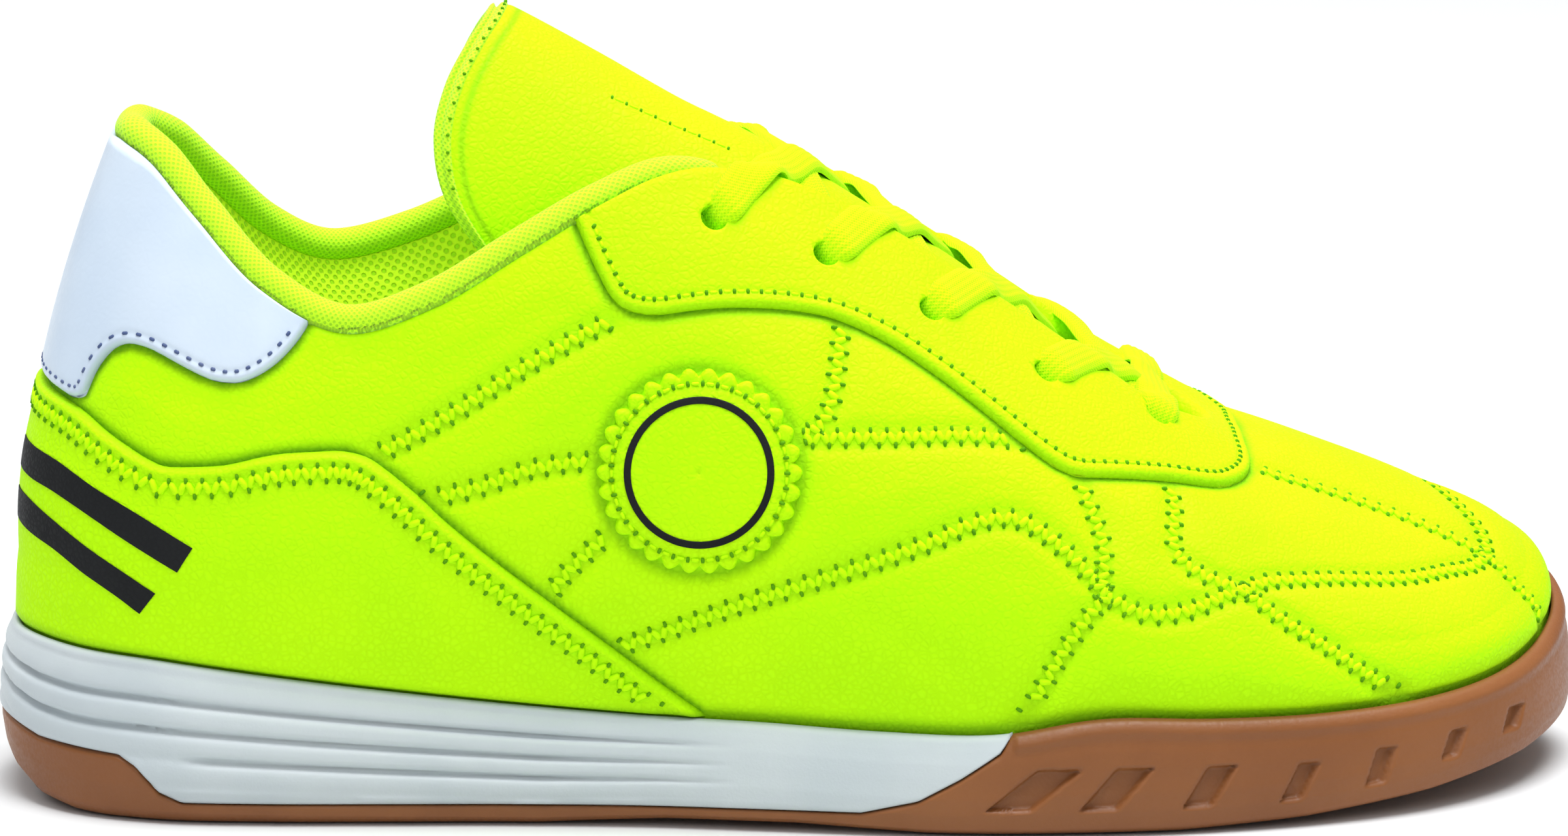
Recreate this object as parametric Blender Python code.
"""Low indoor court shoe for the right foot, built round its last.

Toe towards +X, the outer (lateral) side towards -Y, the ground at z = 0.  One table walks once round
the foot, from the middle of the heel along the outer side to the toe and back along the inner side.
Each of its rows holds a point of the sole outline, the point of the topline above it and the belly of
the section between the two.  Every soft piece is read from the surface that this table spans.
"""
import math

import bmesh
import bpy
import numpy as np
from mathutils import Matrix
from mathutils import Vector
from mathutils.bvhtree import BVHTree

# Named sizes of the last and of the shoe.
LENGTH = 0.232
BALL_WIDTH = 0.083
INSTEP_HEIGHT = 0.092
HEEL_HEIGHT = 0.096
SOLE_HEIGHT = 0.0265
SIDE_TAPER = 0.0020
UPPER_WALL = 0.0024
PIECE_GAP = 0.0004
CUP_INSET = 0.0030
FEATHER_INSET = CUP_INSET + PIECE_GAP
SLAB_THICKNESS = 0.0031
OVERLAY_LIFT = 0.0004
OVERLAY_THICKNESS = 0.0009
INSOLE_THICKNESS = 0.0030
INSOLE_GAP = 0.0007
INSOLE_ROUND = 0.0010
TONGUE_THICKNESS = 0.0048
TONGUE_GAP = 0.0011
TONGUE_SHIFT = 0.0010
TONGUE_CATCH = 0.0015
PIPING_RADIUS = 0.0018
LACE_LIFT = 0.0011
LACE_FEEL = 0.0020
LACE_WIDTH = 0.0058
LACE_THICKNESS = 0.0013
EYELET_RADIUS = 0.0023
EYELET_DRILL = 0.0120
NOTCH_DEPTH = 0.0013
NOTCH_CLEAR = 0.0040
TREAD_DEPTH = 0.0012
PATCH_RADIUS = 0.0146
PATCH_TOOTH = 0.0011
PATCH_TEETH = 30

COLUMNS_PER_ROW = 2
BELLY_STEPS = 8

# sole: point of the outline, x from the heel as a share of LENGTH, y as a share of BALL_WIDTH.
# top: point of the topline; z is instep * INSTEP_HEIGHT + heel * HEEL_HEIGHT.
# low, high: pull of the section's belly at the sole and at the topline, along and out from its chord.
# rim: height of the sole's edge as a share of SOLE_HEIGHT, its highest point.
LAST_COLUMNS = ("sole_x", "sole_y", "top_x", "top_y", "instep", "heel",
                "low_along", "low_out", "high_along", "high_out", "rim")
LAST_ROWS = (
    (0.000, 0.000, 0.071, 0.000, 0.00, 1.00, 0.29, 0.10, 0.35, 0.07, 0.932),
    (0.010, -0.150, 0.078, -0.090, 0.00, 1.00, 0.29, 0.11, 0.35, 0.06, 0.936),
    (0.048, -0.277, 0.101, -0.163, 0.00, 0.97, 0.30, 0.11, 0.34, 0.06, 0.913),
    (0.103, -0.349, 0.129, -0.223, 0.00, 0.90, 0.31, 0.11, 0.33, 0.07, 0.883),
    (0.169, -0.373, 0.169, -0.283, 0.00, 0.80, 0.33, 0.11, 0.33, 0.08, 0.811),
    (0.241, -0.380, 0.220, -0.323, 0.20, 0.55, 0.33, 0.11, 0.33, 0.08, 0.732),
    (0.319, -0.386, 0.276, -0.337, 0.46, 0.34, 0.33, 0.10, 0.33, 0.10, 0.657),
    (0.397, -0.404, 0.332, -0.325, 0.72, 0.17, 0.33, 0.10, 0.32, 0.11, 0.604),
    (0.474, -0.440, 0.380, -0.292, 0.89, 0.07, 0.33, 0.10, 0.31, 0.12, 0.581),
    (0.547, -0.476, 0.426, -0.241, 1.00, 0.00, 0.32, 0.11, 0.30, 0.13, 0.551),
    (0.617, -0.500, 0.483, -0.181, 0.98, 0.00, 0.30, 0.14, 0.30, 0.14, 0.547),
    (0.685, -0.498, 0.547, -0.151, 0.90, 0.00, 0.27, 0.16, 0.32, 0.15, 0.630),
    (0.754, -0.476, 0.612, -0.136, 0.80, 0.00, 0.22, 0.18, 0.35, 0.14, 0.611),
    (0.824, -0.428, 0.672, -0.124, 0.71, 0.00, 0.16, 0.21, 0.40, 0.12, 0.600),
    (0.892, -0.343, 0.722, -0.108, 0.63, 0.00, 0.11, 0.22, 0.46, 0.10, 0.615),
    (0.947, -0.217, 0.752, -0.066, 0.594, 0.00, 0.07, 0.21, 0.52, 0.08, 0.664),
    (0.983, -0.060, 0.764, -0.005, 0.582, 0.00, 0.05, 0.20, 0.55, 0.07, 0.755),
    (1.000, 0.114, 0.762, 0.058, 0.585, 0.00, 0.05, 0.19, 0.55, 0.07, 0.891),
    (0.989, 0.277, 0.746, 0.115, 0.602, 0.00, 0.06, 0.19, 0.52, 0.08, 1.000),
    (0.949, 0.404, 0.707, 0.145, 0.655, 0.00, 0.09, 0.21, 0.46, 0.10, 0.981),
    (0.887, 0.476, 0.659, 0.154, 0.73, 0.00, 0.14, 0.22, 0.41, 0.12, 0.845),
    (0.820, 0.500, 0.604, 0.160, 0.81, 0.00, 0.20, 0.20, 0.37, 0.14, 0.709),
    (0.746, 0.494, 0.543, 0.171, 0.90, 0.00, 0.27, 0.18, 0.33, 0.16, 0.642),
    (0.672, 0.452, 0.483, 0.199, 0.98, 0.00, 0.30, 0.15, 0.31, 0.16, 0.589),
    (0.595, 0.380, 0.426, 0.247, 1.00, 0.00, 0.32, 0.14, 0.30, 0.15, 0.566),
    (0.513, 0.331, 0.375, 0.292, 0.89, 0.07, 0.33, 0.13, 0.31, 0.13, 0.585),
    (0.426, 0.311, 0.323, 0.323, 0.70, 0.19, 0.33, 0.12, 0.32, 0.12, 0.623),
    (0.336, 0.319, 0.263, 0.335, 0.45, 0.36, 0.33, 0.11, 0.33, 0.10, 0.679),
    (0.250, 0.349, 0.207, 0.323, 0.20, 0.57, 0.33, 0.11, 0.33, 0.08, 0.736),
    (0.169, 0.376, 0.164, 0.287, 0.00, 0.81, 0.33, 0.11, 0.33, 0.08, 0.811),
    (0.099, 0.361, 0.129, 0.227, 0.00, 0.90, 0.31, 0.11, 0.33, 0.07, 0.883),
    (0.043, 0.289, 0.101, 0.165, 0.00, 0.97, 0.30, 0.11, 0.34, 0.06, 0.913),
    (0.010, 0.163, 0.078, 0.093, 0.00, 1.00, 0.29, 0.11, 0.35, 0.06, 0.936),
)

# x as a share of LENGTH; underside of the sole and top of the footbed as shares of SOLE_HEIGHT.
GROUND_ROWS = ((0.000, 0.264), (0.010, 0.136), (0.024, 0.045), (0.045, 0.008), (0.064, 0.000), (0.337, 0.000),
               (0.416, 0.034), (0.496, 0.034), (0.575, 0.000), (0.734, 0.000), (0.814, 0.034), (0.897, 0.102),
               (0.959, 0.181), (1.000, 0.264))
BED_ROWS = ((0.000, 0.513), (0.119, 0.491), (0.248, 0.453), (0.397, 0.377), (0.545, 0.317), (0.694, 0.309),
            (0.844, 0.370), (1.000, 0.513))

# height: share of the way from the underside to the rim; inset: share of SIDE_TAPER; groove: which one.
SIDE_COLUMNS = ("height", "inset", "groove")
SIDE_ROWS = (
    (0.00, 0.800, 0),
    (0.07, 0.200, 0),
    (0.22, 0.000, 0),
    (0.38, 0.000, 0),
    (0.41, 0.100, 3),
    (0.55, 0.100, 0),
    (0.58, 0.200, 2),
    (0.73, 0.300, 0),
    (0.76, 0.450, 1),
    (1.00, 1.000, 0),
)
GROOVE_DEPTH = 0.0008
GROOVE_FADE_BACK = 0.34
GROOVE_FADE_FRONT = 0.46

# Side view of the foam that shows: x as a share of LENGTH, z as a share of SOLE_HEIGHT.
FOAM_WINDOW = ((-0.10, 0.475), (0.000, 0.468), (0.026, 0.396), (0.078, 0.366), (0.089, 0.309), (0.103, 0.170),
               (0.117, 0.117), (0.347, 0.117), (0.535, 0.121), (0.570, 0.192), (0.596, 0.317), (0.621, 0.460),
               (0.627, 0.551), (0.629, 1.698), (-0.10, 1.698))

# Notches of the rubber wall: middle x, width and lean as shares of LENGTH, low and high of SOLE_HEIGHT.
NOTCH_COLUMNS = ("middle", "width", "low", "high", "lean")
NOTCH_ROWS = (
    (0.641, 0.029, 0.140, 0.374, 0.034),
    (0.692, 0.024, 0.140, 0.374, 0.024),
    (0.750, 0.019, 0.140, 0.370, 0.017),
    (0.807, 0.014, 0.147, 0.355, 0.013),
    (0.859, 0.013, 0.189, 0.396, 0.009),
    (0.908, 0.012, 0.275, 0.434, 0.008),
    (0.950, 0.012, 0.351, 0.483, 0.006),
)

# Chevrons of the tread: x of the point, reach of its outer and its inner arm as shares of BALL_WIDTH.
TREAD_ROWS = ((0.134, 0.229, 0.229), (0.183, 0.253, 0.253), (0.233, 0.253, 0.241), (0.283, 0.241, 0.205),
              (0.555, 0.325, 0.205), (0.605, 0.361, 0.253), (0.654, 0.373, 0.313), (0.704, 0.373, 0.349),
              (0.753, 0.349, 0.373), (0.803, 0.313, 0.373))
TREAD_WIDTH = 0.0020
TREAD_RAKE = 0.62

# Tongue: x and z of its ridge and of its lower edges as shares of LENGTH and INSTEP_HEIGHT, half width
# as a share of BALL_WIDTH, backward sweep of the flanks as a share of LENGTH, thick of TONGUE_THICKNESS.
TONGUE_COLUMNS = ("x", "z", "edge_x", "edge_z", "half", "sweep", "thick")
TONGUE_ROWS = (
    (0.806, 0.500, 0.793, 0.441, 0.193, 0.000, 0.292),
    (0.756, 0.550, 0.742, 0.475, 0.217, 0.000, 0.375),
    (0.718, 0.612, 0.703, 0.540, 0.217, 0.000, 0.500),
    (0.664, 0.706, 0.642, 0.610, 0.223, 0.000, 0.625),
    (0.604, 0.820, 0.578, 0.707, 0.235, 0.000, 0.708),
    (0.538, 0.928, 0.509, 0.783, 0.235, 0.000, 0.771),
    (0.479, 1.022, 0.444, 0.837, 0.223, 0.002, 0.854),
    (0.431, 1.083, 0.401, 0.870, 0.229, 0.009, 0.938),
    (0.384, 1.152, 0.362, 0.859, 0.247, 0.020, 1.000),
    (0.340, 1.214, 0.332, 0.859, 0.259, 0.028, 0.958),
    (0.317, 1.244, 0.310, 0.870, 0.259, 0.033, 0.708),
)
TONGUE_ACROSS = 8

# Eyelets: x as a share of LENGTH, z as a share of INSTEP_HEIGHT, outer then inner side.
EYELET_COLUMNS = ("outer_x", "outer_z", "inner_x", "inner_z")
EYELET_ROWS = (
    (0.447, 0.942, 0.447, 0.942),
    (0.516, 0.881, 0.516, 0.881),
    (0.581, 0.792, 0.581, 0.792),
    (0.652, 0.687, 0.652, 0.690),
    (0.724, 0.599, 0.724, 0.604),
)

# Side views of the overlays: x as a share of LENGTH, z of INSTEP_HEIGHT for the eyestay and the patch,
# of HEEL_HEIGHT for the counter and the quarter.
EYESTAY_VIEW = ((0.349, 1.087), (0.357, 0.935), (0.369, 0.853), (0.383, 0.811), (0.401, 0.798),
                (0.446, 0.811), (0.506, 0.800), (0.558, 0.737), (0.607, 0.633), (0.647, 0.554),
                (0.691, 0.524), (0.759, 0.509), (0.782, 0.513), (0.794, 0.538), (0.794, 1.087))
COUNTER_VIEW = ((-0.05, 0.641), (0.020, 0.641), (0.040, 0.614), (0.050, 0.635), (0.059, 0.677),
                (0.076, 0.717), (0.093, 0.713), (0.117, 0.679), (0.138, 0.667), (0.159, 0.675),
                (0.174, 0.700), (0.198, 0.756), (0.198, 1.146), (-0.05, 1.146))
QUARTER_VIEW = ((-0.05, 0.634), (0.020, 0.634), (0.057, 0.588), (0.105, 0.542), (0.166, 0.552),
                (0.213, 0.567), (0.238, 0.556), (0.268, 0.510), (0.325, 0.385), (0.377, 0.276),
                (0.428, 0.175), (0.436, 0.052), (-0.05, 0.052))
PATCH_CENTRE = (0.430, 0.554)

# Front of the eyestay seen from above: x as a share of LENGTH, y as a share of BALL_WIDTH.
EYESTAY_PLAN = ((0.280, -0.600), (0.726, -0.600), (0.742, -0.330), (0.764, -0.210), (0.782, -0.090),
                (0.789, 0.020), (0.784, 0.130), (0.768, 0.250), (0.744, 0.370), (0.726, 0.620),
                (0.280, 0.620))


def column(names, rows, name):
    """One named column of a table."""
    return np.array([row[names.index(name)] for row in rows], dtype=float)


def loop_spline(values, per_row):
    """Smooth closed curve through the rows, Catmull-Rom, per_row samples from each row to the next."""
    before = np.roll(values, 1)
    after = np.roll(values, -1)
    beyond = np.roll(values, -2)
    out = np.zeros((len(values), per_row))
    for step in range(per_row):
        t = step / per_row
        a = -0.5 * t ** 3 + t ** 2 - 0.5 * t
        b = 1.5 * t ** 3 - 2.5 * t ** 2 + 1.0
        c = -1.5 * t ** 3 + 2.0 * t ** 2 + 0.5 * t
        d = 0.5 * t ** 3 - 0.5 * t ** 2
        out[:, step] = a * before + b * values + c * after + d * beyond
    return out.ravel()


def last(name):
    """A column of the last, smoothed to every column of the mesh."""
    return loop_spline(column(LAST_COLUMNS, LAST_ROWS, name), COLUMNS_PER_ROW)


def along(rows, x):
    """Height read from a row list at x; the list holds shares of SOLE_HEIGHT."""
    share = x / LENGTH + 0.5
    return np.interp(share, [row[0] for row in rows], [row[1] for row in rows]) * SOLE_HEIGHT


def loop_normals(xy):
    """Outward normals of the closed outline, which runs anticlockwise seen from above."""
    run = np.roll(xy, -1, axis=0) - np.roll(xy, 1, axis=0)
    normal = np.stack([run[:, 1], -run[:, 0]], axis=1)
    return normal / np.linalg.norm(normal, axis=1)[:, None]


OUTLINE = np.stack([(last("sole_x") - 0.5) * LENGTH, last("sole_y") * BALL_WIDTH], axis=1)
OUTLINE_NORMALS = loop_normals(OUTLINE)
COLUMN_COUNT = len(OUTLINE)
RIM = last("rim") * SOLE_HEIGHT
REACH = BALL_WIDTH * 0.85


def ring(inset, heights):
    """Outline drawn in by inset, at the given heights."""
    xy = OUTLINE - OUTLINE_NORMALS * np.asarray(inset).reshape(-1, 1)
    return np.column_stack([xy, np.broadcast_to(heights, len(xy))])


def ring_x(inset):
    """The x of every column of the outline drawn in by inset."""
    return (OUTLINE - OUTLINE_NORMALS * inset)[:, 0]


def cap_faces(count, start, downwards):
    """Faces that close a ring by joining each outer column to the inner one across from it."""
    half = count // 2
    faces = [(0, 1, count - 1)]
    for i in range(1, half - 1):
        faces.append((i, i + 1, count - i - 1))
        faces.append((i, count - i - 1, count - i))
    faces.append((half - 1, half, half + 1))
    shifted = [tuple(start + k for k in face) for face in faces]
    if downwards:
        return [face[::-1] for face in shifted]
    return shifted


def loft(rings):
    """Closed body through a stack of rings, capped below and above."""
    count = len(rings[0])
    faces = cap_faces(count, 0, True)
    for level in range(len(rings) - 1):
        base = level * count
        for i in range(count):
            j = (i + 1) % count
            faces.append((base + i, base + j, base + count + j, base + count + i))
    faces += cap_faces(count, (len(rings) - 1) * count, False)
    return np.vstack(rings), faces


def shell(outer, inner, closed):
    """Body between two grids of the same size; closed when the columns run right round."""
    columns, rows = outer.shape[:2]
    count = columns * rows
    faces = []
    wraps = columns if closed else columns - 1
    for i in range(wraps):
        j = (i + 1) % columns
        for k in range(rows - 1):
            a = i * rows + k
            b = j * rows + k
            faces.append((a, b, b + 1))
            faces.append((a, b + 1, a + 1))
            faces.append((count + a, count + b + 1, count + b))
            faces.append((count + a, count + a + 1, count + b + 1))
        low_a = i * rows
        low_b = j * rows
        top_a = low_a + rows - 1
        top_b = low_b + rows - 1
        faces.append((low_a, count + low_a, count + low_b, low_b))
        faces.append((top_a, top_b, count + top_b, count + top_a))
    if not closed:
        end = (columns - 1) * rows
        for k in range(rows - 1):
            faces.append((k, k + 1, count + k + 1, count + k))
            faces.append((end + k, count + end + k, count + end + k + 1, end + k + 1))
    points = np.vstack([outer.reshape(-1, 3), inner.reshape(-1, 3)])
    return points, faces


def sheet(grid):
    """Open skin over a grid whose columns run right round, facing outwards."""
    columns, rows = grid.shape[:2]
    faces = []
    for i in range(columns):
        j = (i + 1) % columns
        for k in range(rows - 1):
            a = i * rows + k
            b = j * rows + k
            faces.append((a, b, b + 1))
            faces.append((a, b + 1, a + 1))
    return grid.reshape(-1, 3), faces


def prism(view, low_y, high_y):
    """Side view (x, z) in metres, run through the shoe from low_y to high_y."""
    count = len(view)
    points = [(x, low_y, z) for x, z in view]
    points += [(x, high_y, z) for x, z in view]
    faces = [tuple(range(count)), tuple(range(2 * count - 1, count - 1, -1))]
    for i in range(count):
        j = (i + 1) % count
        faces.append((i, count + i, count + j, j))
    return np.array(points), faces


def plan_prism(view, low_z, high_z):
    """Outline seen from above (x, y) in metres, run from low_z to high_z."""
    points, faces = prism(view, low_z, high_z)
    return points[:, [0, 2, 1]], faces


def side_view(rows, height):
    """Side view table turned into metres; height is the size that its z is a share of."""
    return [((x - 0.5) * LENGTH, z * height) for x, z in rows]


def grow_view(view, amount):
    """Side view pushed out by amount on every side."""
    points = np.array(view)
    area = np.sum(points[:, 0] * np.roll(points[:, 1], -1) - np.roll(points[:, 0], -1) * points[:, 1])
    turn = math.copysign(1.0, area)
    back = points - np.roll(points, 1, axis=0)
    ahead = np.roll(points, -1, axis=0) - points
    back = back / np.linalg.norm(back, axis=1)[:, None]
    ahead = ahead / np.linalg.norm(ahead, axis=1)[:, None]
    mitre = back + ahead
    mitre = mitre / np.linalg.norm(mitre, axis=1)[:, None]
    side = np.stack([mitre[:, 1], -mitre[:, 0]], axis=1) * turn
    widen = 1.0 / np.maximum(0.5, np.abs(np.sum(mitre * back, axis=1)))
    return [tuple(p) for p in points + side * (amount * widen)[:, None]]


def upper_grid():
    """Outer surface of the upper: columns round the foot, rows from the feather edge to the topline."""
    foot_x = ring_x(FEATHER_INSET)
    low = ring(FEATHER_INSET, along(BED_ROWS, foot_x) + PIECE_GAP)
    start = ring(FEATHER_INSET, RIM + PIECE_GAP)
    top = np.column_stack([(last("top_x") - 0.5) * LENGTH, last("top_y") * BALL_WIDTH,
                           last("instep") * INSTEP_HEIGHT + last("heel") * HEEL_HEIGHT])
    chord = top - start
    span = np.linalg.norm(chord, axis=1)[:, None]
    away = np.column_stack([OUTLINE_NORMALS, np.zeros(COLUMN_COUNT)])
    lean = np.sum(away * chord, axis=1)[:, None] / span ** 2
    belly = away - chord * lean
    belly = belly / np.linalg.norm(belly, axis=1)[:, None]
    first = start + chord * last("low_along")[:, None] + belly * span * last("low_out")[:, None]
    second = top - chord * last("high_along")[:, None] + belly * span * last("high_out")[:, None]
    grid = [low]
    for step in range(BELLY_STEPS + 1):
        t = step / BELLY_STEPS
        grid.append((1 - t) ** 3 * start + 3 * (1 - t) ** 2 * t * first
                    + 3 * (1 - t) * t ** 2 * second + t ** 3 * top)
    return np.stack(grid, axis=1)


def grid_normals(grid):
    """Outward normals of the upper's surface at every grid point."""
    round_foot = np.roll(grid, -1, axis=0) - np.roll(grid, 1, axis=0)
    upwards = np.gradient(grid, axis=1)
    normal = np.cross(round_foot, upwards)
    return normal / np.linalg.norm(normal, axis=2)[:, :, None]


UPPER = upper_grid()
NORMALS = grid_normals(UPPER)


def lifted(distance):
    """The upper's surface moved out along its normals."""
    return UPPER + NORMALS * distance


def overlay_shell(first, final, low_row, high_row, lift, thick):
    """Even shell over part of the upper, column numbers counted round the foot and past the heel."""
    columns = np.arange(first, final + 1) % COLUMN_COUNT
    outer = lifted(lift + thick)[columns][:, low_row:high_row + 1]
    inner = lifted(lift)[columns][:, low_row:high_row + 1]
    return shell(outer, inner, False)


def make_object(name, points, faces, collection):
    """Mesh object from points and faces, with its normals turned outwards."""
    mesh = bpy.data.meshes.new(name)
    mesh.from_pydata([tuple(p) for p in points], [], [tuple(f) for f in faces])
    mesh.update()
    body = bmesh.new()
    body.from_mesh(mesh)
    bmesh.ops.recalc_face_normals(body, faces=body.faces)
    body.to_mesh(mesh)
    body.free()
    made = bpy.data.objects.new(name, mesh)
    collection.objects.link(made)
    return made


def cutter(name, points, faces):
    """Construction body, kept out of the pictures."""
    made = make_object(name, points, faces, CUTTERS)
    made.hide_render = True
    made.display_type = "WIRE"
    return made


def combine(target, tool, operation):
    """Exact Boolean kept live on the target."""
    step = target.modifiers.new(tool.name, "BOOLEAN")
    step.operation = operation
    step.solver = "EXACT"
    step.object = tool
    return step


def finish(target, colour, roughness, metallic=0.0):
    """Its own plain Principled material."""
    material = bpy.data.materials.new(target.name)
    material.use_nodes = True
    shader = material.node_tree.nodes["Principled BSDF"]
    shader.inputs["Base Color"].default_value = (*colour, 1.0)
    shader.inputs["Roughness"].default_value = roughness
    shader.inputs["Metallic"].default_value = metallic
    target.data.materials.clear()
    target.data.materials.append(material)
    return target


def surface_tree(points, faces):
    """Ray-casting tree of a closed body."""
    return BVHTree.FromPolygons([tuple(p) for p in points], [tuple(f) for f in faces])


for old in list(bpy.data.objects):
    bpy.data.objects.remove(old, do_unlink=True)
for old in list(bpy.data.collections):
    bpy.data.collections.remove(old)

SHOE = bpy.data.collections.new("indoor_court_shoe")
CUTTERS = bpy.data.collections.new("construction")
bpy.context.scene.collection.children.link(SHOE)
bpy.context.scene.collection.children.link(CUTTERS)

NEON = (0.62, 0.95, 0.02)
PIPING_GREEN = (0.72, 0.98, 0.12)
WHITE = (0.86, 0.90, 0.92)
FOAM_WHITE = (0.78, 0.81, 0.83)
GUM = (0.30, 0.14, 0.07)
DARK = (0.03, 0.03, 0.035)


def groove_pull(x, groove):
    """Depth of a side groove at x; the lowest one starts in front of the heel cup."""
    share = x / LENGTH + 0.5
    fade = 1.0 - np.clip((share - GROOVE_FADE_BACK) / (GROOVE_FADE_FRONT - GROOVE_FADE_BACK), 0, 1)
    if groove == 3:
        fade = fade * np.clip((share - 0.115) / 0.02, 0, 1)
    return GROOVE_DEPTH * fade


def sole_block():
    """Whole outer form of the sole, foam and rubber together."""
    rings = []
    for height, inset, groove in SIDE_ROWS:
        x = ring_x(inset * SIDE_TAPER)
        ground = along(GROUND_ROWS, x)
        pull = inset * SIDE_TAPER + (groove_pull(x, groove) if groove else 0.0 * x)
        rings.append(ring(pull, ground + (RIM - ground) * height))
    return loft(rings)


def tub(inset, floor_rows, lift, top):
    """Body inside the outline drawn in by inset, from a floor up to a flat top."""
    x = ring_x(inset)
    return loft([ring(inset, along(floor_rows, x) + lift), ring(inset, top)])


# Outsole and midsole share one outer form and are parted by the foam window and the inner core.
BLOCK_POINTS, BLOCK_FACES = sole_block()
outsole = make_object("outsole", BLOCK_POINTS, BLOCK_FACES, SHOE)
midsole = make_object("midsole", BLOCK_POINTS, BLOCK_FACES, SHOE)
window = side_view(FOAM_WINDOW, SOLE_HEIGHT)

foam_core = cutter("foam_core", *tub(CUP_INSET + PIECE_GAP, GROUND_ROWS,
                                      SLAB_THICKNESS + 2 * PIECE_GAP, SOLE_HEIGHT * 2.3))
foam_window = cutter("foam_window", *prism(window, -REACH, REACH))
combine(foam_core, foam_window, "UNION")
foot_room = cutter("foot_room", *tub(CUP_INSET, BED_ROWS, 0.0, SOLE_HEIGHT * 2.7))
combine(midsole, foam_core, "INTERSECT")
combine(midsole, foot_room, "DIFFERENCE")

foam_room = cutter("foam_room", *tub(CUP_INSET, GROUND_ROWS, SLAB_THICKNESS + PIECE_GAP,
                                     SOLE_HEIGHT * 2.5))
window_room = cutter("window_room", *prism(grow_view(window, PIECE_GAP),
                                               -REACH * 1.07, REACH * 1.07))
combine(outsole, foam_room, "DIFFERENCE")
combine(outsole, window_room, "DIFFERENCE")


def outline_spot(x, side):
    """Point and outward normal of the outline at x, on the outer (-1) or inner (+1) side."""
    half = COLUMN_COUNT // 2
    numbers = np.arange(0, half + 1) if side < 0 else np.arange(half, COLUMN_COUNT + 1) % COLUMN_COUNT
    chain = OUTLINE[numbers]
    normals = OUTLINE_NORMALS[numbers]
    order = np.argsort(chain[:, 0])
    spot = [np.interp(x, chain[order, 0], chain[order, k]) for k in (0, 1)]
    normal = np.array([np.interp(x, chain[order, 0], normals[order, k]) for k in (0, 1)])
    return np.array(spot), normal / np.linalg.norm(normal)


def notch_body(row, side):
    """Forward-leaning parallelogram let into the rubber wall."""
    middle, width, low, high, lean = row
    spot, normal = outline_spot((middle - 0.5) * LENGTH, side)
    run = np.array([-normal[1], normal[0]])
    if run[0] < 0:
        run = -run
    corners = []
    for depth in (-NOTCH_DEPTH, NOTCH_CLEAR):
        for share, z, tip in ((-0.5, low, -0.5), (0.5, low, -0.5), (0.5, high, 0.5), (-0.5, high, 0.5)):
            step = (share * width + tip * lean) * LENGTH
            corner = spot + run * step + normal * depth
            corners.append((corner[0], corner[1], z * SOLE_HEIGHT))
    faces = [(0, 1, 2, 3), (7, 6, 5, 4), (0, 4, 5, 1), (1, 5, 6, 2), (2, 6, 7, 3), (3, 7, 4, 0)]
    return np.array(corners), faces


for number, notch in enumerate(NOTCH_ROWS):
    for side in (-1, 1):
        label = "notch_%d_%s" % (number + 1, "outer" if side < 0 else "inner")
        combine(outsole, cutter(label, *notch_body(notch, side)), "DIFFERENCE")


def chevron_body(row):
    """V-shaped tread groove, its point towards the toe."""
    x0 = (row[0] - 0.5) * LENGTH
    half = TREAD_WIDTH * 0.5
    outer = row[1] * BALL_WIDTH
    inner = row[2] * BALL_WIDTH
    plan = [(x0 + half, 0.0), (x0 + half - outer * TREAD_RAKE, -outer),
            (x0 - half - outer * TREAD_RAKE, -outer), (x0 - half, 0.0),
            (x0 - half - inner * TREAD_RAKE, inner), (x0 + half - inner * TREAD_RAKE, inner)]
    count = len(plan)
    depth = TREAD_DEPTH + along(GROUND_ROWS, x0 - outer * TREAD_RAKE * 0.3)
    points = [(x, y, -2 * TREAD_DEPTH) for x, y in plan] + [(x, y, depth) for x, y in plan]
    faces = [tuple(range(count - 1, -1, -1)), tuple(range(count, 2 * count))]
    for i in range(count):
        j = (i + 1) % count
        faces.append((i, j, count + j, count + i))
    return np.array(points), faces


for number, chevron in enumerate(TREAD_ROWS):
    combine(outsole, cutter("tread_%d" % (number + 1), *chevron_body(chevron)), "DIFFERENCE")

# Upper: the last's surface with a real wall, open on top and underneath.
UPPER_INNER = lifted(-UPPER_WALL)
upper = make_object("upper", *shell(UPPER, UPPER_INNER, True), SHOE)

# Insole: flat footbed that lies inside the wall of the upper.
INSOLE_INSET = FEATHER_INSET + UPPER_WALL + INSOLE_GAP
insole_x = ring_x(INSOLE_INSET)
insole_low = along(BED_ROWS, insole_x) + PIECE_GAP
insole = make_object("insole", *loft([
    ring(INSOLE_INSET + INSOLE_ROUND * 0.4, insole_low),
    ring(INSOLE_INSET, insole_low + INSOLE_THICKNESS * 0.5),
    ring(INSOLE_INSET + INSOLE_ROUND, insole_low + INSOLE_THICKNESS)]), SHOE)

UPPER_TREE = surface_tree(*shell(lifted(OVERLAY_LIFT + OVERLAY_THICKNESS), UPPER_INNER, True))
WALL_TREE = surface_tree(*sheet(UPPER_INNER))


def kept_inside(point, gap):
    """The point, moved in under the wall of the upper where it would come closer to it than gap."""
    near, normal, number, reach = WALL_TREE.find_nearest(Vector(point))
    off = Vector(point) - near
    out = off.dot(normal)
    if out < -gap or (off - normal * out).length > TONGUE_CATCH:
        return point
    return np.array(near - normal * gap)


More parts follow.
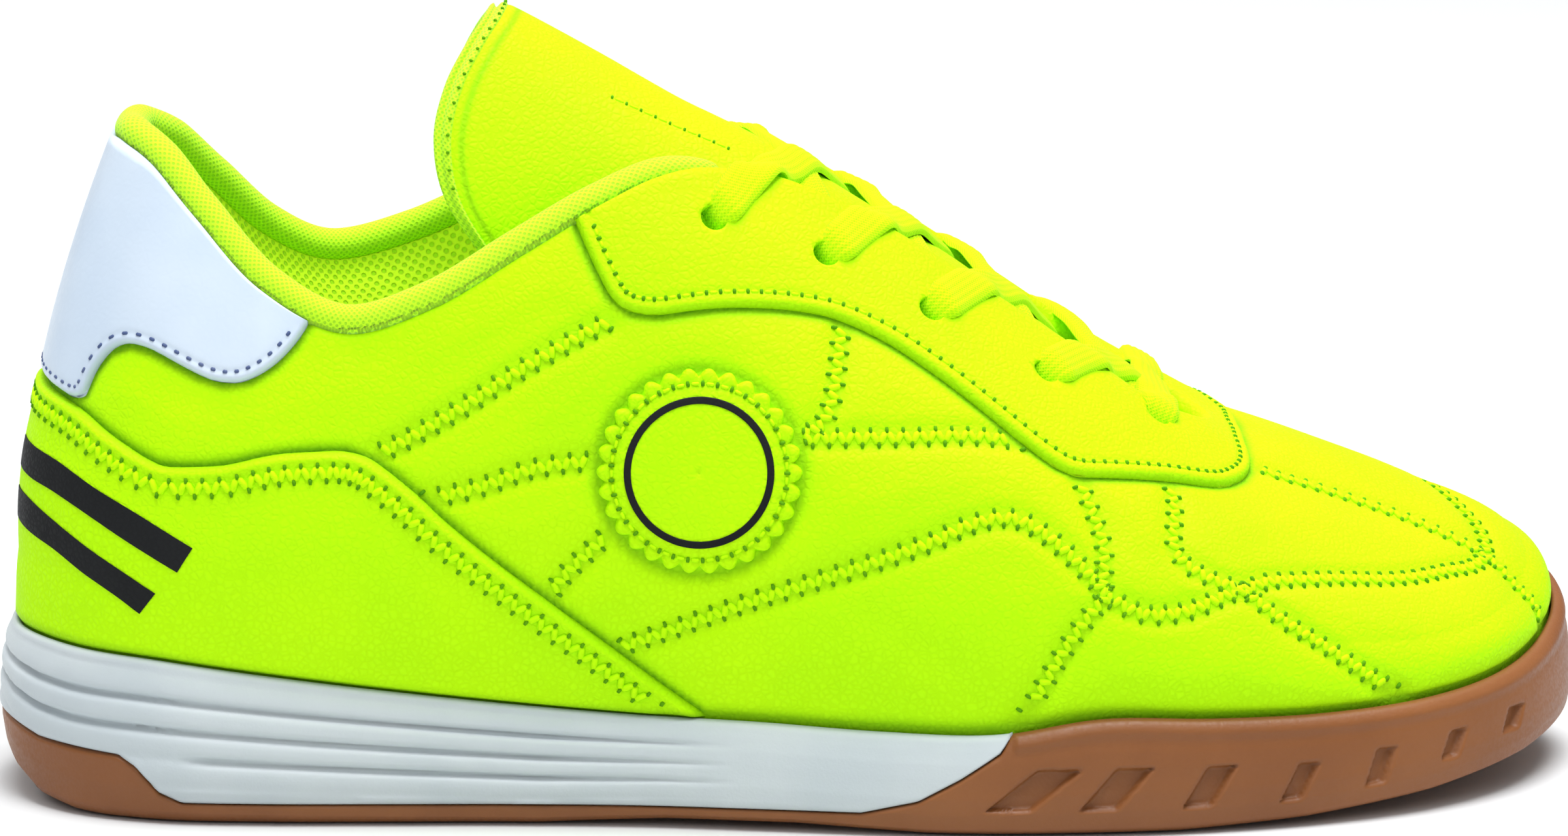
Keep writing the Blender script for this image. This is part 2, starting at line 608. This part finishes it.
def tongue_grids():
    """Outer and inner faces of the tongue, arched across, kept under the facings and the vamp."""
    values = [column(TONGUE_COLUMNS, TONGUE_ROWS, name) for name in TONGUE_COLUMNS]
    steps = np.arange(len(TONGUE_ROWS))
    fine = np.linspace(0, steps[-1], 2 * steps[-1] + 1)
    x, z, edge_x, edge_z, half, sweep, thick = [np.interp(fine, steps, value) for value in values]
    angle = np.linspace(-1.0, 1.0, TONGUE_ACROSS + 1) * math.pi * 0.5
    fall = (1.0 - np.cos(angle))[None, :]
    outer = np.zeros((len(x), TONGUE_ACROSS + 1, 3))
    bow = sweep[:, None] * 4.0 * fall * (1.0 - fall)
    outer[:, :, 0] = (x[:, None] + (edge_x - x)[:, None] * fall - bow - 0.5) * LENGTH
    outer[:, :, 1] = half[:, None] * np.sin(angle)[None, :] * BALL_WIDTH + TONGUE_SHIFT
    outer[:, :, 2] = (z[:, None] + (edge_z - z)[:, None] * fall) * INSTEP_HEIGHT
    for i in range(len(x)):
        for k in range(TONGUE_ACROSS + 1):
            outer[i, k] = kept_inside(outer[i, k], TONGUE_GAP)
    normal = np.cross(np.gradient(outer, axis=0), np.gradient(outer, axis=1))
    normal = normal / np.linalg.norm(normal, axis=2)[:, :, None]
    middle = normal[len(x) // 2, TONGUE_ACROSS // 2]
    normal = normal * math.copysign(1.0, middle[2])
    slim = 1.0 - 0.5 * np.abs(np.sin(angle))[None, :] ** 6
    inner = outer - normal * (thick[:, None] * slim * TONGUE_THICKNESS)[:, :, None]
    return outer, inner


TONGUE_OUTER, TONGUE_INNER = tongue_grids()
tongue = make_object("tongue", *shell(TONGUE_OUTER, TONGUE_INNER, False), SHOE)

# Overlays: even shells over the upper, trimmed by their side views.
ROW = COLUMNS_PER_ROW
eyestay = make_object("eyestay", *overlay_shell(
    7 * ROW, 26 * ROW, 4, BELLY_STEPS + 1, OVERLAY_LIFT, OVERLAY_THICKNESS), SHOE)
combine(eyestay, cutter("eyestay_view", *prism(side_view(EYESTAY_VIEW, INSTEP_HEIGHT), -REACH, REACH)),
        "INTERSECT")
eyestay_plan = [((x - 0.5) * LENGTH, y * BALL_WIDTH) for x, y in EYESTAY_PLAN]
combine(eyestay, cutter("eyestay_plan", *plan_prism(eyestay_plan, INSTEP_HEIGHT * 0.22,
                                                   INSTEP_HEIGHT * 1.30)), "INTERSECT")

heel_counter = make_object("heel_counter", *overlay_shell(
    27 * ROW, 39 * ROW, 4, BELLY_STEPS + 1, OVERLAY_LIFT, OVERLAY_THICKNESS), SHOE)
combine(heel_counter, cutter("counter_view", *prism(side_view(COUNTER_VIEW, HEEL_HEIGHT), -REACH, REACH)),
        "INTERSECT")

quarter_overlay = make_object("quarter_overlay", *overlay_shell(
    23 * ROW, 43 * ROW, 1, 7, OVERLAY_LIFT, OVERLAY_THICKNESS), SHOE)
combine(quarter_overlay, cutter("quarter_view", *prism(side_view(QUARTER_VIEW, HEEL_HEIGHT), -REACH, REACH)),
        "INTERSECT")


def star_view():
    """Pinked disc seen from the side."""
    cx = (PATCH_CENTRE[0] - 0.5) * LENGTH
    cz = PATCH_CENTRE[1] * INSTEP_HEIGHT
    view = []
    for k in range(2 * PATCH_TEETH):
        radius = PATCH_RADIUS - (PATCH_TOOTH if k % 2 else 0.0)
        angle = math.pi * k / PATCH_TEETH
        view.append((cx + radius * math.cos(angle), cz + radius * math.sin(angle)))
    return view


patch = make_object("round_patch", *overlay_shell(
    4 * ROW, 11 * ROW, 3, 8, OVERLAY_LIFT, OVERLAY_THICKNESS), SHOE)
combine(patch, cutter("patch_view", *prism(star_view(), -REACH, 0.0)), "INTERSECT")


def tube(path, radius, sides):
    """Round cord along a path, its ends closed."""
    run = np.gradient(path, axis=0)
    run = run / np.linalg.norm(run, axis=1)[:, None]
    side = np.cross(run, np.array([0.0, 0.0, 1.0]))
    side = side / np.linalg.norm(side, axis=1)[:, None]
    rise = np.cross(side, run)
    rings = []
    for k in range(sides):
        angle = 2 * math.pi * k / sides
        rings.append(path + radius * (math.cos(angle) * side + math.sin(angle) * rise))
    grid = np.stack(rings, axis=1)
    count = len(path)
    faces = [tuple(range(sides - 1, -1, -1)), tuple((count - 1) * sides + k for k in range(sides))]
    for i in range(count - 1):
        for k in range(sides):
            j = (k + 1) % sides
            faces.append((i * sides + k, i * sides + j, (i + 1) * sides + j, (i + 1) * sides + k))
    return grid.reshape(-1, 3), faces


# Piping: a roll that sits on the collar's edge from one end of the throat to the other.
collar_columns = np.arange(24 * ROW, 42 * ROW + 2) % COLUMN_COUNT
edge = 0.5 * (UPPER[:, -1] + UPPER_INNER[:, -1])
edge_run = np.roll(UPPER[:, -1], -1, axis=0) - np.roll(UPPER[:, -1], 1, axis=0)
upwards = np.cross(NORMALS[:, -1], edge_run)
upwards = upwards / np.linalg.norm(upwards, axis=1)[:, None]
piping_path = (edge + upwards * (PIPING_RADIUS + PIECE_GAP))[collar_columns]
piping = make_object("collar_piping", *tube(piping_path, PIPING_RADIUS, 6), SHOE)


def eyelet_spot(x_share, z_share, side):
    """Point and normal on the facing, found by looking at it from the side."""
    x = (x_share - 0.5) * LENGTH
    z = z_share * INSTEP_HEIGHT
    hit, normal, number, reach = UPPER_TREE.ray_cast(Vector((x, side * BALL_WIDTH, z)), Vector((0, -side, 0)))
    return np.array(hit), np.array(normal)


EYELETS = []
for number, row in enumerate(EYELET_ROWS):
    pair = (eyelet_spot(row[0], row[1], -1), eyelet_spot(row[2], row[3], 1))
    EYELETS.append(pair)
    for spot, normal, label in ((*pair[0], "outer"), (*pair[1], "inner")):
        turn = Vector(normal).to_track_quat("Z", "Y").to_matrix().to_4x4()
        mesh = bpy.data.meshes.new("eyelet_%d_%s" % (number + 1, label))
        body = bmesh.new()
        bmesh.ops.create_cone(body, cap_ends=True, segments=8, radius1=EYELET_RADIUS,
                              radius2=EYELET_RADIUS, depth=EYELET_DRILL)
        body.to_mesh(mesh)
        body.free()
        drill = bpy.data.objects.new(mesh.name, mesh)
        drill.matrix_world = Matrix.Translation(Vector(spot)) @ turn
        drill.hide_render = True
        drill.display_type = "WIRE"
        CUTTERS.objects.link(drill)
        combine(upper, drill, "DIFFERENCE")
        combine(eyestay, drill, "DIFFERENCE")

TONGUE_TREE = surface_tree(*shell(TONGUE_OUTER, TONGUE_INNER, False))
PIPING_TREE = surface_tree(*tube(piping_path, PIPING_RADIUS, 6))


def ground_under(x, y):
    """Height of the highest soft surface just round (x, y)."""
    heights = []
    for dx, dy in ((0, 0), (LACE_FEEL, 0), (-LACE_FEEL, 0), (0, LACE_FEEL), (0, -LACE_FEEL)):
        for tree in (UPPER_TREE, TONGUE_TREE, PIPING_TREE):
            hit = tree.ray_cast(Vector((x + dx, y + dy, LENGTH)), Vector((0, 0, -1)))[0]
            if hit is not None:
                heights.append(hit.z)
    return max(heights)


def taut(distance, height):
    """Upper hull of a profile: a lace pulled tight over it."""
    keep = [0]
    for i in range(1, len(distance)):
        while len(keep) > 1:
            a = keep[-2]
            b = keep[-1]
            rise_ab = (height[b] - height[a]) * (distance[i] - distance[a])
            rise_ai = (height[i] - height[a]) * (distance[b] - distance[a])
            if rise_ab > rise_ai:
                break
            keep.pop()
        keep.append(i)
    return np.interp(distance, distance[keep], height[keep])


def strand(start, finish_point):
    """Flat lace from one eyelet to another, pulled tight over the facings and the tongue."""
    count = 9
    a = np.array(start)
    b = np.array(finish_point)
    run = b - a
    run = run / np.linalg.norm(run[:2])
    across = np.array([-run[1], run[0], 0.0])
    lines = []
    for side in (-0.5, 0.0, 0.5):
        plan = a + np.linspace(0.0, 1.0, count)[:, None] * (b - a) + across * side * LACE_WIDTH
        height = np.array([ground_under(x, y) for x, y, z in plan])
        distance = np.linalg.norm(plan[:, :2] - plan[0, :2], axis=1)
        plan[:, 2] = taut(distance, height) + LACE_LIFT
        lines.append(plan)
    low = np.stack(lines, axis=1)
    high = low + np.array([0.0, 0.0, LACE_THICKNESS])
    return shell(high, low, False)


strands = []
for number in range(len(EYELETS)):
    here = EYELETS[number]
    if number == len(EYELETS) - 1:
        strands.append((here[0][0], here[1][0]))
    else:
        ahead = EYELETS[number + 1]
        strands.append((here[0][0], ahead[1][0]))
        strands.append((ahead[0][0], here[1][0]))
laces = make_object("laces", *strand(*strands[0]), SHOE)
for number, ends in enumerate(strands[1:]):
    combine(laces, cutter("lace_strand_%d" % (number + 2), *strand(*ends)), "UNION")

finish(outsole, GUM, 0.55)
finish(midsole, FOAM_WHITE, 0.60)
finish(insole, (0.25, 0.45, 0.05), 0.9)
finish(upper, NEON, 0.5)
finish(tongue, NEON, 0.7)
finish(eyestay, NEON, 0.45)
finish(heel_counter, WHITE, 0.35)
finish(quarter_overlay, NEON, 0.45)
finish(piping, PIPING_GREEN, 0.8)
finish(patch, NEON, 0.5)
finish(laces, PIPING_GREEN, 0.8)
